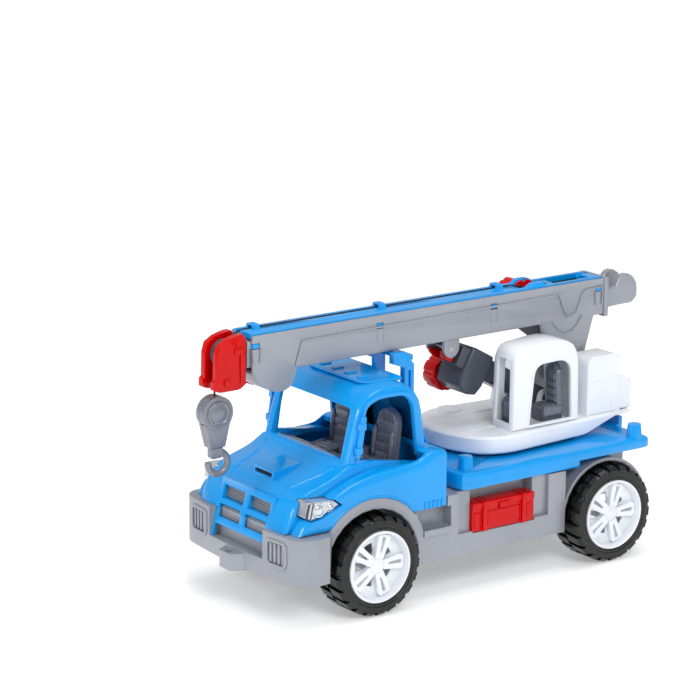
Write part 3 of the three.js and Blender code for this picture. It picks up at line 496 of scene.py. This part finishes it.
def rim(node, x, hand):
    """Deep dished rim: looped spokes standing off it and dark openings near the hub."""
    bm = bmesh.new()
    add_lathe(bm, [(r, hand * y) for r, y in RIM_LIP], x, AXLE_Z, 64)
    add_lathe(bm, [(r, hand * y) for r, y in RIM_HUB], x, AXLE_Z, 40)
    obj = piece(f"{node}_lip", bm, BODY_OF[node], "white", 0.3, 2, 35)
    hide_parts(node)

    dish = bmesh.new()
    count = 80
    grid = [
        [dish.verts.new(point) for point in turn_points(x, hand * y, AXLE_Z, r, count)]
        for r, y in RIM_DISH
    ]
    for i in range(len(RIM_DISH) - 1):
        middle = (RIM_DISH[i][0] + RIM_DISH[i + 1][0]) / 2
        for k in range(count):
            off = ((k + 0.5) / count * SPOKES + 0.5) % 1 - 0.5  # 0 in the middle of an opening
            if 9.5 < middle < 21 and abs(off) < 0.19:
                continue
            j = (k + 1) % count
            dish.faces.new((grid[i][k], grid[i][j], grid[i + 1][j], grid[i + 1][k]))
    plate = piece(f"{node}_dish", dish, BODY_OF[node], "white", 0)
    thick = plate.modifiers.new("thick", "SOLIDIFY")
    thick.thickness = 0.0022
    thick.offset = 0
    smooth_bevel(plate, 0.4, 2, 40)

    loops = bmesh.new()
    for k in range(SPOKES):
        angle = 2 * math.pi * (k + 0.5) / SPOKES
        outer = spoke_outline(6.5, 29.9, 4.6, 7.0, angle, x)
        inner = spoke_outline(12.5, 27.0, 0.7, 1.9, angle, x)
        add_ring(loops, outer, inner, *across(hand, 84.8, 92.6), "y")
    piece(f"{node}_spokes", loops, BODY_OF[node], "white", 1.1, 3, 40)


# --------------------------------------------------------------- truck body
SIDE_WINDOW = [(282.5, 142), (275, 190, 5), (262, 196.5, 8), (231, 196, 8), (223, 185, 5),
               (217, 131.5)]
BONNET_LINE = [(296, 140), (311, 131), (344, 121), (357, 111)]  # x, z down the middle
WING_LIP_RADIUS = 63.4


def window_trims():
    """A raised frame round each door window."""
    bm = bmesh.new()
    inner = grow(rounded(SIDE_WINDOW, 5), 0.5)
    outer = grow(inner, 3.6)
    for sign in SIDES:
        add_ring(bm, outer, inner, sign * 66.2, sign * 68.2, "y")
    piece("door_window_trims", bm, "chassis", "blue", 0.7, 3)


def door_hinges():
    """A slim bracket with two knuckles on each front door post."""
    bm = bmesh.new()
    for sign in SIDES:
        for z in (152.5, 174.5):
            x = 287.2 - 0.176 * (z - 148)
            add_box(bm, x - 3.2, x + 3.6, *across(sign, 68.5, 73.6), z - 3.2, z + 3.2)
        bar = [(285.2, 146), (289.4, 146), (283.2, 184), (279, 184)]
        add_prism(bm, bar, sign * 70.0, sign * 72.6, "y")
    piece("door_brackets", bm, "chassis", "blue", 0.6, 2)


def roof_details():
    """A raised roof panel with four short bars on it."""
    bm = bmesh.new()
    plate = rounded([(220, -53, 10), (264, -47, 14), (264, 47, 14), (220, 53, 10)], 5)
    add_prism(bm, plate, 205.5, 207.8, "z")
    piece("roof_panel", bm, "chassis", "blue", 1.0, 4)
    bumps = bmesh.new()
    for sign in SIDES:
        for y in (10, 30):
            add_box(bumps, 246, 258, *across(sign, y - 3, y + 3), 206.5, 209.2)
    piece("roof_markers", bumps, "chassis", "blue", 1.0, 3)


def bonnet_height(x):
    for (x0, z0), (x1, z1) in zip(BONNET_LINE, BONNET_LINE[1:]):
        if x <= x1:
            return z0 + (z1 - z0) * (x - x0) / (x1 - x0)
    return BONNET_LINE[-1][1]


def bonnet_details():
    """Creases from the screen corners to the mask, and the scoop's dark mouth."""
    bm = bmesh.new()
    last = 11
    for sign in SIDES:
        points = []
        for k in range(last + 1):
            x = 301 + 4.6 * k
            y = 55 - 13 * (k / last) ** 0.8
            points.append((x, sign * y, bonnet_height(x) - 0.7))
        radii = [1.0 + 0.7 * math.sin(math.pi * k / last) for k in range(last + 1)]
        add_tube(bm, points, radii, 10)
    piece("bonnet_creases", bm, "chassis", "blue", 0)
    mouth = bmesh.new()
    add_box(mouth, 326, 339.5, -13.3, 13.3, 122.6, 126.4)
    for k in range(3):
        z = 122.9 + 1.3 * k
        add_box(mouth, 339, 341.2, -13.3, 13.3, z, z + 0.4)
    piece("scoop_mouth", mouth, "chassis", "dark", 0.2, 1)


def wing_lips():
    """The wings' blue rolled edge over the front wheels."""
    bm = bmesh.new()
    for sign in SIDES:
        points = []
        for k in range(31):
            a = math.radians(41 + 98 * k / 30)
            x = WHEELBASE + WING_LIP_RADIUS * math.cos(a)
            points.append((x, sign * 84.2, AXLE_Z + WING_LIP_RADIUS * math.sin(a)))
        add_tube(bm, points, 1.5, 10)
    piece("wing_lips", bm, "chassis", "blue", 0)


def follow_bumper(bm):
    """Bend x so that a flat piece follows the bumper's curved front."""
    for vertex in bm.verts:
        y = vertex.co.y * 1000
        vertex.co.x -= 0.00072 * (y * y - 63 * 63) / 1000


def bumper_lamps():
    """Rounded raised frames with upright ribs inside."""
    ribs = bmesh.new()
    frames = bmesh.new()
    for sign in SIDES:
        for k in range(4):
            y = sign * (54.4 + 5.8 * k)
            add_box(ribs, 368, 371.9, y - 1.5, y + 1.5, 59.0, 77.6)
        window = [(51.2, 58.4, 4), (74.6, 58.4, 4), (74.6, 78.2, 4), (51.2, 78.2, 4)]
        inner = [(sign * y, z) for y, z in rounded(window, 4)]
        outer = grow(inner, 3.2)
        add_ring(frames, outer, inner, 366.5, 373.3, "x")
    follow_bumper(ribs)
    follow_bumper(frames)
    piece("bumper_lamp_ribs", ribs, "chassis", "grey", 0.6, 3)
    piece("bumper_lamp_frames", frames, "chassis", "grey", 0.8, 3, 40)


def grille_slats():
    """Level slats in the four openings of the mask."""
    bm = bmesh.new()
    slats = 6
    for low, high, base in ((96.2, 106.4, 357.0), (78.9, 88.9, 363.0)):
        for k in range(slats):
            z = low + (high - low) * k / (slats - 1)
            x = base + 0.26 * (high - z) - 0.8
            for sign in SIDES:
                add_box(bm, x - 1.5, x, *across(sign, 4.6, 37.0), z - 0.55, z + 0.55)
    piece("grille_slats", bm, "chassis", "grey", 0.25, 1)


def step_teeth():
    """Ribs on the foot steps, and short upright ribs at the cab's lower rear corners."""
    grey = bmesh.new()
    blue = bmesh.new()
    for sign in SIDES:
        for k in range(11):
            x = 192 + 2.8 * k
            add_box(grey, x, x + 1.3, *across(sign, 81, 87.4), 67.6, 69.0)
        for k in range(5):
            x = 199 + 4.8 * k
            add_box(blue, x, x + 2.6, *across(sign, 83.5, 86.0), 89.5, 95.5)
    piece("step_teeth", grey, "chassis", "grey", 0.3, 1)
    piece("cab_corner_teeth", blue, "chassis", "blue", 0.5, 2)


# Axle x, inner and outer radius, first and last angle, outer y.
ARCH_LIPS = ((WHEELBASE, 52.2, 55.0, -8, 188, 85.6), (0, 50.4, 53.2, 4, 176, 82.8))


def fender_rims():
    """Raised grey lips round the four wheel arches."""
    bm = bmesh.new()
    steps = 40
    for sign in SIDES:
        for x, r0, r1, a0, a1, y in ARCH_LIPS:
            outer, inner = [], []
            for k in range(steps + 1):
                a = math.radians(a0 + (a1 - a0) * k / steps)
                outer.append((x + r1 * math.cos(a), AXLE_Z + r1 * math.sin(a)))
                inner.append((x + r0 * math.cos(a), AXLE_Z + r0 * math.sin(a)))
            add_prism(bm, outer + inner[::-1], *across(sign, y - 4.5, y), "y")
    piece("wheel_arch_lips", bm, "chassis", "grey", 0.8, 3, 35)


def headlights():
    """Silvery lamp with a clear lens over each reflector and dark bars at the front."""
    for sign, side_name in ((1, "left"), (-1, "right")):
        skin(f"headlight_{side_name}", 0.8, 3)
        bm = bmesh.new()
        for x, z, r in ((338.5, 108.2, 6.4), (326.0, 108.8, 4.0)):
            profile = [(r + 0.8, 80.6), (r + 0.8, 82.3), (r + 0.1, 82.9), (r - 0.6, 82.2),
                       (r * 0.75, 83.4), (r * 0.4, 84.3), (0, 84.6)]
            add_lathe(bm, [(p, sign * q) for p, q in profile], x, z, 32)
        piece(f"headlight_{side_name}_bulges", bm, "chassis", "lamp", 0)
        bars = bmesh.new()
        for bar in (
            [(350.8, 101.8), (353.2, 103.2), (349.8, 115.8), (347.6, 115.8)],
            [(347.0, 100.4), (348.2, 100.8), (345.0, 116.0), (343.9, 116.0)],
        ):
            add_prism(bars, bar, *across(sign, 80.5, 82.5), "y")
        piece(f"headlight_{side_name}_bars", bars, "chassis", "dark", 0.3, 2)


# -------------------------------------------------------------------- seats
def arch(y, half, z, height):
    """Outline of a seat back's rounded top, across the seat."""
    angles = [math.pi * k / 16 for k in range(17)]
    return [(y + half * math.cos(a), z + height * math.sin(a)) for a in angles]


CAB_SEATS = (31, -35)  # y of each seat's middle


def seat_piece(*details):
    """A piece in the seats' lighter plastic."""
    piece(*details).data.materials[0] = SEAT_PLASTIC


def seats():
    """Channelled pads and side bolsters in the cab, and the crane's seat and lever."""
    bm = bmesh.new()
    for y in CAB_SEATS:
        add_prism(bm, arch(y, 13.5, 162, 11.5), 216.6, 225.6, "x")
        for k in range(4):
            z = 125 + 9.0 * k
            x = 232.2 - 0.113 * (z - 112)
            add_box(bm, x - 1.5, x + 1.1, y - 10, y + 10, z, z + 6.8)
        for k in range(3):
            add_box(bm, 236 + 6.5 * k, 241.2 + 6.5 * k, y - 11, y + 11, 125.0, 127.4)
    seat_piece("cab_seat_pads", bm, "chassis", "dark", 1.2, 3)
    bolsters = bmesh.new()
    for y in CAB_SEATS:
        for side_y in (y - 13.2, y + 13.2):
            back = [(231 - 0.113 * k * 6, side_y, 126 + 6 * k) for k in range(6)]
            add_tube(bolsters, back, [2.0, 2.6, 2.8, 2.8, 2.4, 1.4], 12)
            base = [(234, side_y, 126), (240, side_y, 126.6), (254, side_y, 126.4)]
            add_tube(bolsters, base, [1.6, 2.2, 1.6], 12)
    seat_piece("cab_seat_bolsters", bolsters, "chassis", "dark", 0)
    crane = bmesh.new()
    add_prism(crane, arch(36, 6.5, 183, 8.5), 25.6, 31.6, "x")
    for k in range(4):
        z = 152 + 7.6 * k
        x = 30.4 + 0.07 * (z - 141)
        add_box(crane, x - 1, x + 1.2, 29.5, 42.5, z, z + 5.6)
    for k in range(3):
        add_box(crane, 33 + 5 * k, 36.8 + 5 * k, 28.5, 43.5, 150.2, 151.8)
    seat_piece("crane_seat_pads", crane, "crane", "dark", 0.9, 3)
    console = bmesh.new()
    add_box(console, 71.5, 77.0, 29, 35, 160, 164.2)
    add_tube(console, [(73, 40, 160), (71, 40, 166), (69.5, 40, 171)], [1.1, 1.0, 1.7], 12)
    seat_piece("crane_console_lever", console, "crane", "dark", 0.5, 2)


def dash_lines():
    """Light raised outlines of the instruments on the dash."""
    bm = bmesh.new()

    def dash_point(x, y):
        """A point on the dash's slope."""
        return (x, y, 130 + (x - 262) * 9 / 19 + 0.1)

    panel = [(266, -14), (279, -12), (279, 12), (266, 14), (266, -14)]
    for y0 in CAB_SEATS:
        add_tube(bm, [dash_point(x, y0 + y) for x, y in panel], 0.45, 6)
        for y in (-5, 5):
            add_tube(bm, [dash_point(266, y0 + y), dash_point(279, y0 + 0.6 * y)], 0.4, 6)
    for y in (-8, 6):
        add_tube(bm, [dash_point(266, y), dash_point(279, y + 2)], 0.4, 6)
    piece("dash_lines", bm, "chassis", "grey", 0)


# --------------------------------------------------------- crane superstructure
def strip(points, width):
    """A band of the given width along a line, as a closed outline."""
    left, right = [], []
    for i, p in enumerate(points):
        ahead = Vector(points[min(i + 1, len(points) - 1)]) - Vector(points[max(i - 1, 0)])
        normal = Vector((-ahead.y, ahead.x)).normalized() * width / 2
        left.append(tuple(Vector(p) + normal))
        right.append(tuple(Vector(p) - normal))
    return left + right[::-1]


DOORWAY = [(72, 138), (66, 190, 8), (60, 196, 8), (31, 197, 6), (22, 190, 6), (20, 138)]
HOUSE_LINES = (
    [(-43, 150), (-8, 150)],
    [(-43, 171), (-30, 171), (-27, 168), (-8, 168)],
    [(-33, 137), (-33, 150)],
)


def crane_trims():
    """The cabin's door frame, panel lines on the engine house and ribs on the platform."""
    bm = bmesh.new()
    inner = rounded(DOORWAY, 5)
    add_ring(bm, grow(inner, 2.6), grow(inner, 0.3), 52.0, 53.7, "y")
    piece("crane_door_trim", bm, "crane", "white", 0.6, 3, 40)
    lines = bmesh.new()
    for line in HOUSE_LINES:
        add_prism(lines, strip(line, 1.1), 49.4, 50.5, "y")
    piece("house_panel_lines", lines, "crane", "white", 0.4, 2, 40)
    plate = bmesh.new()
    for y in (24, -24):
        add_box(plate, 48, 128, y - 0.9, y + 0.9, 133.4, 134.7)
    piece("platform_ribs", plate, "crane", "white", 0.5, 2, 40)


def toolbox_details():
    """A latch and raised panels on the lid and front of each toolbox."""
    bm = bmesh.new()
    for sign in SIDES:
        add_box(bm, 120, 132, *across(sign, 82, 85.6), 74.5, 80.5)
        for x0, x1 in ((91.1, 97.9), (107.1, 144.9), (154.1, 160.9)):
            add_box(bm, x0, x1, *across(sign, 68.5, 81.5), 82.6, 83.9)
            add_box(bm, x0, x1, *across(sign, 82.4, 83.8), 59, 73.5)
    piece("toolbox_panels", bm, "chassis", "red", 0.6, 3, 40)


# --------------------------------------------------------------------- boom
CLIPS = (362, 223.5, 89, -41.5)  # x of the cover's clips
BOOM_LINE = [(12, 249.6), (312, 247.2), (312, 249.0), (12, 251.5)]
BOOM_LINE_END = [(318, 226), (320, 226), (312.6, 249), (310.6, 249)]
UPPER_LOOP = [(10, 250.8), (6.5, 246), (4, 238), (0, 231), (-7, 227.6), (-13, 230), (-17, 238),
              (-20.5, 247), (-25, 251.2), (-50, 251.8)]
LOWER_LOOP = [(30, 226.6), (16, 223.5), (9, 216), (0, 211.5), (-9, 212.5), (-16, 219), (-21, 226)]


def boom_details():
    """Ridges beside the clips, a panel line and two looped ridges on each side of the boom."""
    bm = bmesh.new()
    for x in CLIPS:
        for sign in SIDES:
            for lane in (-1, 1):
                top, foot = x + lane * 4.6, x + lane * 3.4
                ridge = [(top - 0.6, 247), (top + 0.6, 247), (foot + 0.5, 234), (foot - 0.5, 234)]
                add_prism(bm, ridge, *across(sign, 17.4, 18.4), "y")
    for sign in SIDES:
        add_prism(bm, BOOM_LINE, *across(sign, 17.4, 18.5), "y")
        add_prism(bm, BOOM_LINE_END, *across(sign, 17.4, 18.5), "y")
        add_prism(bm, strip(UPPER_LOOP, 1.3), *across(sign, 16.6, 18.4), "y")
        add_prism(bm, strip(LOWER_LOOP, 1.2), *across(sign, 16.6, 18.3), "y")
    piece("boom_side_ridges", bm, "boom", "grey", 0.35, 2)


def winch_details():
    """Cord wound on the drum."""
    bm = bmesh.new()
    drum_x, drum_z, radius = 33, 248, 9.9
    turns, per_turn = 6, 20
    points = []
    for k in range(turns * per_turn + 1):
        a = 2 * math.pi * k / per_turn
        y = -5.0 + 10.0 * k / (turns * per_turn)
        points.append((drum_x + radius * math.cos(a), y, drum_z + radius * math.sin(a)))
    add_tube(bm, points, 0.8, 6)
    piece("winch_winding", bm, "winch", "cord", 0)


CORD_RADIUS = 0.9
SHEAVE = (384.5, 243, 11.5)  # x, z, and the radius that the cord runs on


def hoist_cord():
    """Along the boom, over the sheave and down to the hook block."""
    sheave_x, sheave_z, round_radius = SHEAVE
    run = [(37, -4, 258.2), (46, -5.4, 260.2), (56, -7, 260.8)]
    run += [(56 + 11.2 * k, -7, 260.8) for k in range(1, 27)]
    run += [(360, -6.4, 260.8), (366.8, -5.2, 260.3), (374, -2.6, 258.2)]
    for angle in (70, 60, 50, 40, 30, 20, 12, 0):
        a = math.radians(angle)
        run.append((sheave_x + round_radius * math.cos(a), 0, sheave_z + round_radius * math.sin(a)))
    bm = bmesh.new()
    add_tube(bm, run, CORD_RADIUS, 8)
    top = piece("hoist_cord_top", bm, None, "cord", 0)
    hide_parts("hoist_cord_boom", "hoist_cord_head")
    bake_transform(top)
    fall = bmesh.new()
    heights = (242.6, 236, 230, 224, 218, 212, 206, 203)
    add_tube(fall, [(396, 0, z) for z in heights], CORD_RADIUS, 8)
    down = piece("hoist_cord_down", fall, None, "cord", 0)
    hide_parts("hoist_cord_fall")
    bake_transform(down)


# --------------------------------------------------------------------- hook
BLOCK_CAP = [(11.8, 6.0), (11.8, 8.2), (10.6, 8.8), (9.4, 8.2), (9.0, 7.4), (8.6, 7.6),
             (6.5, 8.7), (3, 9.3), (0, 9.4)]


def hook_block():
    """The block's two halves with a raised ring and a domed cap on each."""
    bm = bmesh.new()
    for sign in SIDES:
        add_lathe(bm, [(r, sign * y) for r, y in BLOCK_CAP], 396, 190, 48)
    caps = piece("hook_block_caps", bm, "hook_block", "dark", 0)
    caps.data.materials[0] = HOOK_PLASTIC
    for side_name in ("left", "right"):
        skin(f"hook_block_{side_name}", 0.6, 3).data.materials[0] = HOOK_PLASTIC


def hook():
    """The shank, and a round bend that thins towards its tip."""
    bm = bmesh.new()
    bend_x, bend_z, bend_radius = 393, 142.2, 10.4
    taper_from = 0.72  # part of the way round
    points, radii = [], []
    for k in range(29):
        t = k / 28
        a = math.radians(112 + (369 - 112) * t)
        points.append((bend_x + bend_radius * math.cos(a), 0, bend_z + bend_radius * math.sin(a)))
        radii.append(3.2 - 1.5 * max(0.0, t - taper_from) / (1 - taper_from))
    add_tube(bm, points, radii, 14)
    piece("hook_bend", bm, "hook", "dark", 0.3, 2, 50).data.materials[0] = HOOK_PLASTIC
    skin("hook", 0.4, 2).data.materials[0] = HOOK_PLASTIC


# ------------------------------------------------------------------- studio
FLOOR_REACH = 6.0
LAMPS = (  # name, place, size in metres, power in watts
    ("key", (0.5, 1.7, 1.5), 0.8, 20),
    ("front", (2.0, -0.3, 1.2), 0.7, 13),
    ("top", (-0.3, 0.1, 2.2), 1.2, 14),
)
LAMP_AIM = Vector((0, 0, 0.12))


def make_floor():
    """A plain pale floor that glows white away from the toy."""
    bm = bmesh.new()
    reach = FLOOR_REACH
    corners = [(-reach, -reach), (reach, -reach), (reach, reach), (-reach, reach)]
    bm.faces.new([bm.verts.new((x, y, 0)) for x, y in corners])
    data = bpy.data.meshes.new("floor")
    bm.to_mesh(data)
    bm.free()
    floor = bpy.data.objects.new("floor", data)
    SCENE.collection.objects.link(floor)
    paint = Paint("floor_white")
    cloud = paint.spread(paint.noise(2, 1), 0, 1)
    paint.colours(cloud, (0.90, 0.90, 0.90, 1), (0.93, 0.93, 0.93, 1))
    paint.shader.inputs["Roughness"].default_value = 0.7
    paint.shader.inputs["Emission Color"].default_value = (1, 1, 1, 1)
    away = paint.node("ShaderNodeVectorMath", operation="LENGTH")
    paint.link(paint.coords, away.inputs[0])
    glow = paint.spread(away.outputs["Value"], 0.30, 0.62, 0.6, 4.0)
    paint.link(glow, paint.shader.inputs["Emission Strength"])
    data.materials.append(paint.mat)


def light_up():
    """Soft light from all round and three broad lamps."""
    world = bpy.data.worlds.new("studio")
    world.use_nodes = True
    background = world.node_tree.nodes["Background"]
    background.inputs["Color"].default_value = (0.97, 0.985, 1, 1)
    background.inputs["Strength"].default_value = 0.5
    SCENE.world = world
    for name, place, size, power in LAMPS:
        light = bpy.data.lights.new(name, "AREA")
        light.size = size
        light.energy = power
        lamp = bpy.data.objects.new(name, light)
        lamp.location = place
        aim = LAMP_AIM - Vector(place)
        lamp.rotation_euler = aim.to_track_quat("-Z", "Y").to_euler()
        SCENE.collection.objects.link(lamp)
    SCENE.view_settings.view_transform = "Standard"


# ----------------------------------------------------------------- assembly
make_camera()
for end, axle_x in (("front", WHEELBASE), ("rear", 0.0)):
    for side_word, hand_sign in (("left", 1), ("right", -1)):
        tyre(f"{end}_{side_word}_tyre", axle_x, hand_sign)
        rim(f"{end}_{side_word}_rim", axle_x, hand_sign)

SKINS = {  # node: how far its edges are rounded, mm
    "chassis": 0.9, "toolbox_left": 1.0, "toolbox_right": 1.0, "cab_shell": 0.9, "cab_interior": 1.0,
    "grille_panel": 0.3, "deck": 1.2, "boom_rest": 0.9, "turntable": 1.2, "crane_cabin": 1.2,
    "engine_house": 1.4, "crane_seat": 1.0, "crane_console": 0.8, "boom_outer": 0.6, "boom_cover": 0.5,
    "boom_tail": 0.8, "inner_boom": 0.4, "head_left": 0.9, "head_right": 0.9, "head_sheave": 0.3,
    "telescope_knob": 0.4, "winch_drum": 0.4, "jack_housing": 1.0, "jack_rod": 0.4, "jack_clevis": 0.8,
    "luff_knob": 0.4,
}
SEAT_NODES = ("cab_interior", "crane_seat", "crane_console")
for node_name, rounding in SKINS.items():
    made = skin(node_name, rounding, 3 if rounding > 0.7 else 2)
    if node_name in SEAT_NODES:
        made.data.materials[0] = SEAT_PLASTIC
for node_name, node_object in NODES.items():
    node_object.data.materials.clear()
    node_object.data.materials.append(MATERIALS[SLOT_OF[node_name]])

window_trims()
door_hinges()
roof_details()
bonnet_details()
wing_lips()
bumper_lamps()
grille_slats()
step_teeth()
fender_rims()
headlights()
seats()
dash_lines()
crane_trims()
toolbox_details()
boom_details()
winch_details()
hoist_cord()
hook_block()
hook()
make_floor()
light_up()
